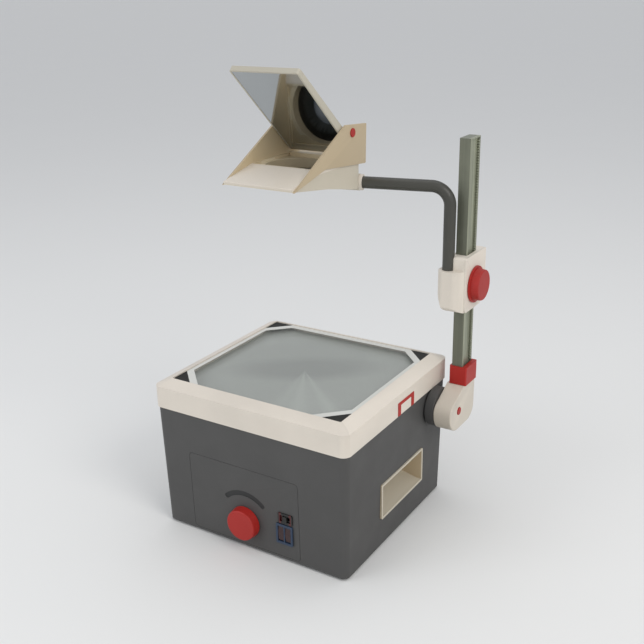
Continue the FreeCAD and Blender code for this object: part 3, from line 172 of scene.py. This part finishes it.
# ---- material helpers ---------------------------------------------------------------
class Recipe:
    """A Principled material and the few node chains that its textures are made from."""

    def __init__(self, name, colour, roughness, metallic=0.0, coat=0.0, specular=0.5):
        self.material = bpy.data.materials.new(name)
        self.material.use_nodes = True
        self.tree = self.material.node_tree
        self.shader = self.tree.nodes["Principled BSDF"]
        self.shader.inputs["Base Color"].default_value = (*colour, 1.0)
        self.shader.inputs["Roughness"].default_value = roughness
        self.shader.inputs["Metallic"].default_value = metallic
        self.shader.inputs["Coat Weight"].default_value = coat
        self.shader.inputs["Coat Roughness"].default_value = 0.12
        self.shader.inputs["Specular IOR Level"].default_value = specular
        self.material.diffuse_color = (*colour, 1.0)
        self.coordinates = self.add("ShaderNodeTexCoord").outputs["Object"]
        self.colour = None
        self.height = None

    def add(self, kind, **settings):
        node = self.tree.nodes.new(kind)
        for key, value in settings.items():
            setattr(node, key, value)
        return node

    def link(self, output, socket):
        self.tree.links.new(output, socket)

    def stretched(self, scale):
        """Object coordinates scaled by axis."""
        mapping = self.add("ShaderNodeMapping")
        mapping.inputs["Scale"].default_value = scale
        self.link(self.coordinates, mapping.inputs["Vector"])
        return mapping.outputs["Vector"]

    def turned(self, angle):
        """Object coordinates turned about Z, split into X, Y and Z."""
        mapping = self.add("ShaderNodeMapping", vector_type="POINT")
        mapping.inputs["Rotation"].default_value = (0.0, 0.0, angle)
        self.link(self.coordinates, mapping.inputs["Vector"])
        split = self.add("ShaderNodeSeparateXYZ")
        self.link(mapping.outputs["Vector"], split.inputs["Vector"])
        return split.outputs["X"], split.outputs["Y"], split.outputs["Z"]

    def sums(self, operation, *values):
        """One Math node; each value is a number or another node's output."""
        node = self.add("ShaderNodeMath", operation=operation)
        for socket, value in zip(node.inputs, values):
            if isinstance(value, (int, float)):
                socket.default_value = value
            else:
                self.link(value, socket)
        return node.outputs["Value"]

    def distance(self, u, v, centre_u=0.0, centre_v=0.0, radius_u=1.0, radius_v=1.0):
        """Distance from a centre, 1 on an ellipse of those radii."""
        along = self.sums("DIVIDE", self.sums("SUBTRACT", u, centre_u), radius_u)
        across = self.sums("DIVIDE", self.sums("SUBTRACT", v, centre_v), radius_v)
        return self.sums("SQRT", self.sums(
            "ADD", self.sums("MULTIPLY", along, along), self.sums("MULTIPLY", across, across)))

    def noise(self, scale, detail=3.0, stretch=(1.0, 1.0, 1.0)):
        """Noise of about 1/scale metres, 0 to 1."""
        node = self.add("ShaderNodeTexNoise")
        node.inputs["Scale"].default_value = scale
        node.inputs["Detail"].default_value = detail
        self.link(self.stretched(stretch), node.inputs["Vector"])
        return node.outputs["Fac"]

    def ranged(self, value, low, high, to_low=0.0, to_high=1.0):
        """A value mapped from low..high to to_low..to_high, and held outside it."""
        node = self.add("ShaderNodeMapRange", clamp=True)
        for socket, number in zip(("From Min", "From Max", "To Min", "To Max"),
                                  (low, high, to_low, to_high)):
            node.inputs[socket].default_value = number
        self.link(value, node.inputs["Value"])
        return node.outputs["Result"]

    def past(self, value, limit):
        """1 beyond the limit, 0 before it."""
        return self.ranged(value, limit, limit + COLOUR_STEP)

    def short_of(self, value, limit):
        """1 before the limit, 0 beyond it."""
        return self.ranged(value, limit, limit + COLOUR_STEP, 1.0, 0.0)

    def both(self, first, second):
        return self.sums("MULTIPLY", first, second)

    def away(self, value, middle=0.0):
        """Distance of one coordinate from a middle."""
        if middle:
            value = self.sums("SUBTRACT", value, middle)
        return self.sums("ABSOLUTE", value)

    def tint(self, factor, colour, amount=1.0):
        """Mixes another colour over the base where factor is 1."""
        mix = self.add("ShaderNodeMix", data_type="RGBA")
        strength = self.add("ShaderNodeMath", operation="MULTIPLY")
        self.link(factor, strength.inputs[0])
        strength.inputs[1].default_value = amount
        self.link(strength.outputs[0], mix.inputs["Factor"])
        if self.colour is None:
            mix.inputs["A"].default_value = self.shader.inputs["Base Color"].default_value
        else:
            self.link(self.colour, mix.inputs["A"])
        mix.inputs["B"].default_value = (*colour, 1.0)
        self.colour = mix.outputs["Result"]
        self.link(self.colour, self.shader.inputs["Base Color"])

    def bump(self, height, strength, depth):
        """Adds a bump on top of any earlier one."""
        node = self.add("ShaderNodeBump")
        node.inputs["Strength"].default_value = strength
        node.inputs["Distance"].default_value = depth
        self.link(height, node.inputs["Height"])
        if self.height is not None:
            self.link(self.height, node.inputs["Normal"])
        self.height = node.outputs["Normal"]
        self.link(self.height, self.shader.inputs["Normal"])

    def roughened(self, value, low, high):
        """Roughness that follows a value."""
        self.link(self.ranged(value, 0.3, 0.7, low, high), self.shader.inputs["Roughness"])

    def edge_wear(self, colour, amount):
        """Paler rubbed edges, from how sharply the surface curves."""
        curve = self.add("ShaderNodeNewGeometry").outputs["Pointiness"]
        self.tint(self.ranged(curve, 0.52, 0.60), colour, amount)


def scaled(colour, factor):
    """A colour made paler or darker, no channel above 1."""
    return tuple(min(1.0, channel * factor) for channel in colour)


def moulded(name, colour, roughness, grain, grain_depth, coat=0.0, wear=0.25):
    """Moulded plastic: even colour with faint clouding, fine grain, rubbed edges."""
    recipe = Recipe(name, colour, roughness, coat=coat)
    clouds = recipe.noise(9.0, 4.0)
    recipe.tint(recipe.ranged(clouds, 0.35, 0.7), scaled(colour, 0.88), 0.8)
    speck = recipe.noise(grain * 1.7, 2.0)
    recipe.tint(recipe.ranged(speck, 0.55, 0.75), scaled(colour, 1.22), 0.35)
    recipe.edge_wear(scaled(colour, 1.35), wear)
    texture = recipe.noise(grain, 2.0)
    recipe.bump(texture, 0.35, grain_depth)
    recipe.roughened(recipe.noise(22.0, 3.0), roughness - 0.06, roughness + 0.06)
    return recipe.material


def painted(name, colour, roughness, wear=0.3):
    """Stoved paint on metal: orange peel, faint dust, worn edges."""
    recipe = Recipe(name, colour, roughness, coat=0.15)
    clouds = recipe.noise(12.0, 5.0)
    recipe.tint(recipe.ranged(clouds, 0.4, 0.75), scaled(colour, 0.82), 0.7)
    recipe.edge_wear(scaled(colour, 1.5), wear)
    recipe.bump(recipe.noise(320.0, 1.0), 0.22, 0.0004)
    recipe.roughened(recipe.noise(30.0, 4.0), roughness - 0.08, roughness + 0.08)
    return recipe.material


def anodised_with_painted_light_and_shade(name, colour, roughness):
    """Drawn aluminium: die lines along Z, painted light making the rack's channel paler, painted
    shade making the front face darker.
    """
    recipe = Recipe(name, colour, roughness, metallic=0.35)
    out, along, _ = recipe.turned(0.0)
    # painted light: the rack's channel made paler
    recipe.tint(recipe.past(out, CHANNEL_X), scaled(colour, 1.90))
    # painted shade: the front face made darker
    recipe.tint(recipe.short_of(along, POST_FRONT), scaled(colour, 0.64))
    lines = recipe.noise(420.0, 3.0, (1.0, 1.0, 0.012))
    recipe.tint(recipe.ranged(lines, 0.35, 0.65), scaled(colour, 0.84), 0.7)
    clouds = recipe.noise(14.0, 4.0)
    recipe.tint(recipe.ranged(clouds, 0.45, 0.75), scaled(colour, 1.18), 0.5)
    recipe.bump(lines, 0.25, 0.0003)
    recipe.roughened(lines, roughness - 0.05, roughness + 0.08)
    return recipe.material


def brushed(name, colour, roughness, metallic=1.0, stretch=(0.05, 1.0, 1.0)):
    """Bare metal with fine lines, long where the stretch is small."""
    recipe = Recipe(name, colour, roughness, metallic=metallic)
    lines = recipe.noise(900.0, 2.0, stretch)
    recipe.tint(recipe.ranged(lines, 0.35, 0.65), scaled(colour, 0.8), 0.6)
    recipe.bump(lines, 0.2, 0.0002)
    recipe.roughened(recipe.noise(25.0, 4.0), roughness - 0.08, roughness + 0.1)
    return recipe.material


def cup_plastic_with_painted_shade(name, colour, ends):
    """Handle cup: pale rim and floor, painted shade in tan on the walls at its two ends."""
    recipe = Recipe(name, colour, 0.5)
    out, along, _ = recipe.turned(0.0)
    # painted shade: the cup's end walls tan
    end = recipe.past(recipe.away(along, HANDLE_MIDDLE), HANDLE_REACH)
    deep = recipe.short_of(recipe.away(out), HANDLE_FACE)
    recipe.tint(recipe.both(end, deep), ends)
    recipe.tint(recipe.ranged(recipe.noise(9.0, 4.0), 0.35, 0.7), scaled(colour, 0.9), 0.3)
    recipe.bump(recipe.noise(600.0, 2.0), 0.3, 0.0003)
    return recipe.material


def barrel_plastic(name, colour, funnel):
    """Black ring outside, dark grey funnel inside it."""
    recipe = Recipe(name, colour, 0.40)
    across, along, up = recipe.turned(0.0)
    radius = recipe.distance(across, along)
    above = recipe.past(up, FUNNEL_FOOT)
    inner = recipe.short_of(radius, FUNNEL_R)
    recipe.tint(recipe.both(inner, above), funnel)
    recipe.bump(recipe.sums("PINGPONG", radius, 0.0008), 0.3, 0.0002)
    recipe.roughened(recipe.noise(40.0, 3.0), 0.36, 0.48)
    return recipe.material


def fresnel_plate_with_painted_shade_and_sheen(name, colour):
    """Grooved lens: fine rings, a painted dark pool of shade over the lamp and painted pale rays
    of sheen towards the front, both fixed on the lens and turned to the camera's heading.
    """
    recipe = Recipe(name, colour, 0.30, coat=0.3, specular=0.4)
    across, along, _ = recipe.turned(-CAMERA_HEADING)
    radius = recipe.distance(across, along)
    recipe.tint(recipe.ranged(radius, 0.125, 0.150), scaled(colour, 0.93), 1.0)
    # painted shade: darker ovals, a dark pool painted on the lens
    for oval, inner, shade in PAINTED_SHADE_OVALS:
        painted_shade_spread = recipe.distance(across, along, *oval)
        recipe.tint(recipe.ranged(painted_shade_spread, inner, 1.0, 1.0, 0.0), scaled(colour, shade))
    # painted sheen: pale rays of painted reflection, towards the front only
    angle = recipe.sums("ARCTAN2", across, recipe.sums("MULTIPLY", along, -1.0))
    reach = recipe.ranged(along, -0.020, 0.020, 1.0, 0.0)
    for middle, width, strength in PAINTED_SHEEN_RAYS:
        offset = recipe.away(angle, math.radians(middle))
        painted_sheen_ray = recipe.ranged(offset, 0.0, math.radians(width), 1.0, 0.0)
        recipe.tint(recipe.both(painted_sheen_ray, reach), scaled(colour, 1.30), strength)
    rings = recipe.sums("PINGPONG", recipe.distance(*recipe.turned(0.0)[:2]), RING_PITCH)
    recipe.bump(rings, 0.25, 0.0002)
    return recipe.material


def clear_plate(name, colour, alpha, roughness, coat=1.0):
    """Glass over something else: it lets most of it show and adds a sharp reflection."""
    recipe = Recipe(name, colour, roughness, coat=coat)
    recipe.shader.inputs["Coat Roughness"].default_value = 0.03
    recipe.shader.inputs["Alpha"].default_value = alpha
    recipe.tint(recipe.noise(6.0, 3.0), scaled(colour, 0.94), 0.6)
    dust = recipe.noise(60.0, 6.0)
    recipe.roughened(dust, roughness, roughness + 0.05)
    return recipe.material


def lens_glass(name, colour):
    """Coated lens seen against a dark barrel: bluish, darker to the rim."""
    recipe = Recipe(name, colour, 0.05, coat=1.0)
    recipe.shader.inputs["Coat Roughness"].default_value = 0.02
    across, along, _ = recipe.turned(0.0)
    recipe.tint(recipe.ranged(recipe.distance(across, along), 0.012, 0.027), scaled(colour, 0.55))
    recipe.tint(recipe.noise(40.0, 2.0), scaled(colour, 0.9), 0.5)
    return recipe.material


def front_mirror(name, colour):
    """Front-surface mirror with a little haze."""
    recipe = Recipe(name, colour, 0.05, metallic=1.0)
    haze = recipe.noise(9.0, 4.0)
    recipe.tint(recipe.ranged(haze, 0.4, 0.7), scaled(colour, 0.93), 0.7)
    recipe.roughened(haze, 0.03, 0.09)
    return recipe.material


def deck_plastic_painted_light_and_shade(name, colour, painted_shelf_shade, painted_well_shade, painted_ring_light):
    """Cream lip; behind it painted shade on the back of the deck, painted light on a pale band
    round the lens opening, and painted shade on the opening's dark wall.
    """
    recipe = Recipe(name, colour, 0.45)
    across, along, up = recipe.turned(0.0)
    behind = recipe.past(along, LIP_END)
    within = recipe.short_of(recipe.away(across), SHELF_SIDE)
    # painted shade: the deck behind the lip made darker
    recipe.tint(recipe.both(behind, within), painted_shelf_shade)
    radius = recipe.distance(across, along)
    round_well = recipe.short_of(radius, WELL_RING_R)
    ahead = recipe.short_of(along, WELL_RING_END)
    # painted light: a pale band round the lens opening
    recipe.tint(recipe.both(recipe.both(round_well, behind), ahead), painted_ring_light)
    near = recipe.short_of(radius, WELL_R)
    low = recipe.short_of(up, SHELF_TOP)
    # painted shade: the lens opening's wall made dark
    recipe.tint(recipe.both(recipe.both(near, low), behind), painted_well_shade)
    recipe.tint(recipe.ranged(recipe.noise(9.0, 4.0), 0.35, 0.7), scaled(painted_shelf_shade, 0.95), 0.15)
    recipe.bump(recipe.noise(800.0, 2.0), 0.35, 0.0003)
    recipe.roughened(recipe.noise(22.0, 3.0), 0.40, 0.52)
    return recipe.material


def flap_plastic_with_painted_shade(name, colour, painted_foot_shade):
    """Tray of the mirror, with painted shade in tan along its lower edge."""
    recipe = Recipe(name, colour, 0.45)
    _, _, up = recipe.turned(0.0)
    # painted shade: tan along the tray's lower edge
    recipe.tint(recipe.short_of(up, FLAP_FOOT), painted_foot_shade)
    recipe.tint(recipe.ranged(recipe.noise(9.0, 4.0), 0.35, 0.7), scaled(colour, 0.88), 0.3)
    recipe.edge_wear(scaled(colour, 1.35), 0.25)
    recipe.bump(recipe.noise(800.0, 2.0), 0.35, 0.0003)
    recipe.roughened(recipe.noise(22.0, 3.0), 0.39, 0.51)
    return recipe.material


def cheek_plastic_with_painted_light(name, colour, inner):
    """Side plates of the head, with painted light making the sides that face each other paler."""
    recipe = Recipe(name, colour, 0.48)
    across, _, _ = recipe.turned(0.0)
    # painted light: the inner sides made paler
    recipe.tint(recipe.short_of(recipe.away(across), CHEEK_INSIDE), inner)
    recipe.tint(recipe.ranged(recipe.noise(9.0, 4.0), 0.35, 0.7), scaled(colour, 0.9), 0.25)
    recipe.edge_wear(scaled(colour, 1.35), 0.25)
    recipe.bump(recipe.noise(800.0, 2.0), 0.35, 0.0003)
    recipe.roughened(recipe.noise(22.0, 3.0), 0.42, 0.54)
    return recipe.material


def switch_bezel(name, colour, ends):
    """Dark bezel with a coloured mark at each end of the slide."""
    recipe = Recipe(name, colour, 0.4)
    across, _, _ = recipe.turned(0.0)
    offset = recipe.away(across, SLIDE_MIDDLE)
    recipe.tint(recipe.past(offset, SLIDE_MARK[0]), ends)
    recipe.tint(recipe.past(offset, SLIDE_MARK[1]), colour)
    recipe.bump(recipe.noise(700.0, 2.0), 0.3, 0.0002)
    return recipe.material


def build_materials():
    """Finishes by the material slot of the part."""
    return {
        "shell_grey": moulded("shell_grey", (0.063, 0.062, 0.060), 0.58, 700.0, 0.0005),
        "cream_plastic": moulded("cream_plastic", CREAM, 0.45, 800.0, 0.0003),
        "cream_cast": painted("cream_cast", CREAM_CAST, 0.42),
        # the third colour is painted shade on the handle cups' end walls
        "liner_beige": cup_plastic_with_painted_shade("liner_beige", (0.56, 0.51, 0.41), (0.50, 0.40, 0.26)),
        "tan_plastic": moulded("tan_plastic", (0.46, 0.37, 0.24), 0.48, 800.0, 0.0003),
        "red_plastic": moulded("red_plastic", RED, 0.50, 500.0, 0.0001),
        "black_plastic": moulded("black_plastic", (0.010, 0.010, 0.009), 0.42, 600.0, 0.0003),
        "blue_plastic": moulded("blue_plastic", (0.020, 0.040, 0.080), 0.45, 600.0, 0.0002),
        "smoked_plastic": moulded("smoked_plastic", (0.016, 0.017, 0.017), 0.50, 300.0, 0.0001),
        # the post's finish holds painted light in the rack's channel and painted shade on its
        # front face
        "post_alloy": anodised_with_painted_light_and_shade("post_alloy", (0.205, 0.215, 0.160), 0.45),
        "arm_steel": painted("arm_steel", (0.046, 0.045, 0.036), 0.50),
        "bare_steel": brushed("bare_steel", (0.55, 0.55, 0.54), 0.32),
        "core_steel": brushed("core_steel", (0.10, 0.09, 0.085), 0.5, 0.6),
        "copper": brushed("copper", (0.5, 0.22, 0.09), 0.35, 0.9, (1.0, 1.0, 1.0)),
        "rubber": moulded("rubber", (0.02, 0.02, 0.02), 0.75, 500.0, 0.0004),
        "glass": lens_glass("glass", (0.52, 0.58, 0.66)),
        "stage_glass": clear_plate("stage_glass", (0.36, 0.38, 0.35), 0.15, 0.06, 0.6),
        "fresnel": fresnel_plate_with_painted_shade_and_sheen("fresnel", (0.42, 0.44, 0.405)),
        "strip": moulded("strip", (0.60, 0.60, 0.56), 0.5, 700.0, 0.0001),
        "mask": moulded("mask", (0.010, 0.010, 0.008), 0.8, 700.0, 0.0001),
        "mirror": front_mirror("mirror", (0.42, 0.44, 0.45)),
        "ceramic": moulded("ceramic", (0.75, 0.72, 0.64), 0.3, 500.0, 0.0001),
        "bright_alloy": brushed("bright_alloy", (0.75, 0.75, 0.74), 0.18),
        "nylon": moulded("nylon", (0.55, 0.53, 0.45), 0.45, 500.0, 0.0001),
    }


def build_finishes():
    """Finishes of single nodes that differ from the rest of their slot."""
    return {
        # cream lip, then painted shade behind the lip, painted shade on the lens opening's wall,
        # and painted light round the opening
        "head_deck": deck_plastic_painted_light_and_shade(
            "deck_plastic_painted_light_and_shade", CREAM, (0.60, 0.50, 0.33), (0.45, 0.375, 0.25), (0.68, 0.60, 0.44)),
        # the rack takes the post's finish, with its painted light in the channel
        "focus_rack": MATERIALS["post_alloy"],
        "lens_barrel": barrel_plastic(
            "barrel_plastic", (0.006, 0.006, 0.005), (0.020, 0.022, 0.018)),
        "head_base": moulded("base_plastic", (0.56, 0.51, 0.41), 0.48, 800.0, 0.0003),
        # the second colour is painted shade along the tray's lower edge
        "mirror_flap": flap_plastic_with_painted_shade("flap_plastic_with_painted_shade", (0.45, 0.42, 0.34), (0.30, 0.235, 0.14)),
        # the second colour is painted light on the cheeks' inner sides
        "head_cheeks": cheek_plastic_with_painted_light("cheek_plastic_with_painted_light", (0.46, 0.37, 0.24), (0.60, 0.49, 0.31)),
        "selector_bezel": switch_bezel(
            "bezel_plastic", (0.012, 0.012, 0.012), (0.075, 0.012, 0.012)),
        "power_rocker": moulded("rocker_plastic", (0.030, 0.009, 0.009), 0.4, 500.0, 0.0001, 0.1),
        "lamp_rocker": moulded("rocker_plastic_2", (0.030, 0.009, 0.009), 0.4, 500.0, 0.0001, 0.1),
    }


MATERIALS = build_materials()
FINISHES = build_finishes()
NODE_SLOTS = {entry["node"]: entry["material_slot"] for entry in frame["record"]["subparts"]}


def dress_nodes():
    """Gives every CAD node the material of its slot, or its own."""
    for name, node in frame["nodes"].items():
        for place in node.material_slots:
            place.material = FINISHES.get(name, MATERIALS[NODE_SLOTS[name]])


def soften_edges(name, width):
    """A copy of a CAD node with rounded sharp edges, shown in place of the node."""
    node = frame["nodes"][name]
    mesh = node.data.copy()
    mesh.name = name + "_soft"
    for attribute in [a for a in mesh.attributes if a.name == "custom_normal"]:
        mesh.attributes.remove(attribute)
    work = bmesh.new()
    work.from_mesh(mesh)
    bmesh.ops.remove_doubles(work, verts=work.verts, dist=0.01 * MM)
    bmesh.ops.dissolve_limit(work, angle_limit=FLAT, verts=work.verts, edges=work.edges)
    sharp = [e for e in work.edges if e.is_manifold and e.is_convex
             and e.calc_face_angle() > SHARP and e.calc_length() > width * MM]
    bmesh.ops.bevel(work, geom=sharp, offset=width * MM, segments=2, profile=0.5,
                    affect="EDGES", clamp_overlap=True)
    for face in work.faces:
        face.smooth = True
    for edge in work.edges:
        edge.smooth = edge.is_manifold and edge.calc_face_angle() < SHARP
    work.to_mesh(mesh)
    work.free()
    piece = bpy.data.objects.new(name + "_soft", mesh)
    bpy.context.scene.collection.objects.link(piece)
    shading = piece.modifiers.new("shading", "WEIGHTED_NORMAL")
    shading.keep_sharp = True
    shading.weight = 100
    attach(piece, body_of(node)[0])
    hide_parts(name)
    return piece


def build_floor():
    """Plain pale floor, far wider than the view."""
    mesh = bpy.data.meshes.new("floor")
    half = 40.0
    mesh.from_pydata([(-half, -half, 0), (half, -half, 0), (half, half, 0), (-half, half, 0)],
                     [], [(0, 1, 2, 3)])
    floor = bpy.data.objects.new("floor", mesh)
    bpy.context.scene.collection.objects.link(floor)
    recipe = Recipe("floor_paper", (0.80, 0.80, 0.78), 0.9, specular=0.1)
    recipe.tint(recipe.noise(3.0, 3.0), (0.78, 0.78, 0.765), 0.5)
    mesh.materials.append(recipe.material)


set_camera()
set_lights()
dress_nodes()
for edge_name, edge_width in SOFT_EDGES.items():
    soften_edges(edge_name, edge_width)
build_floor()
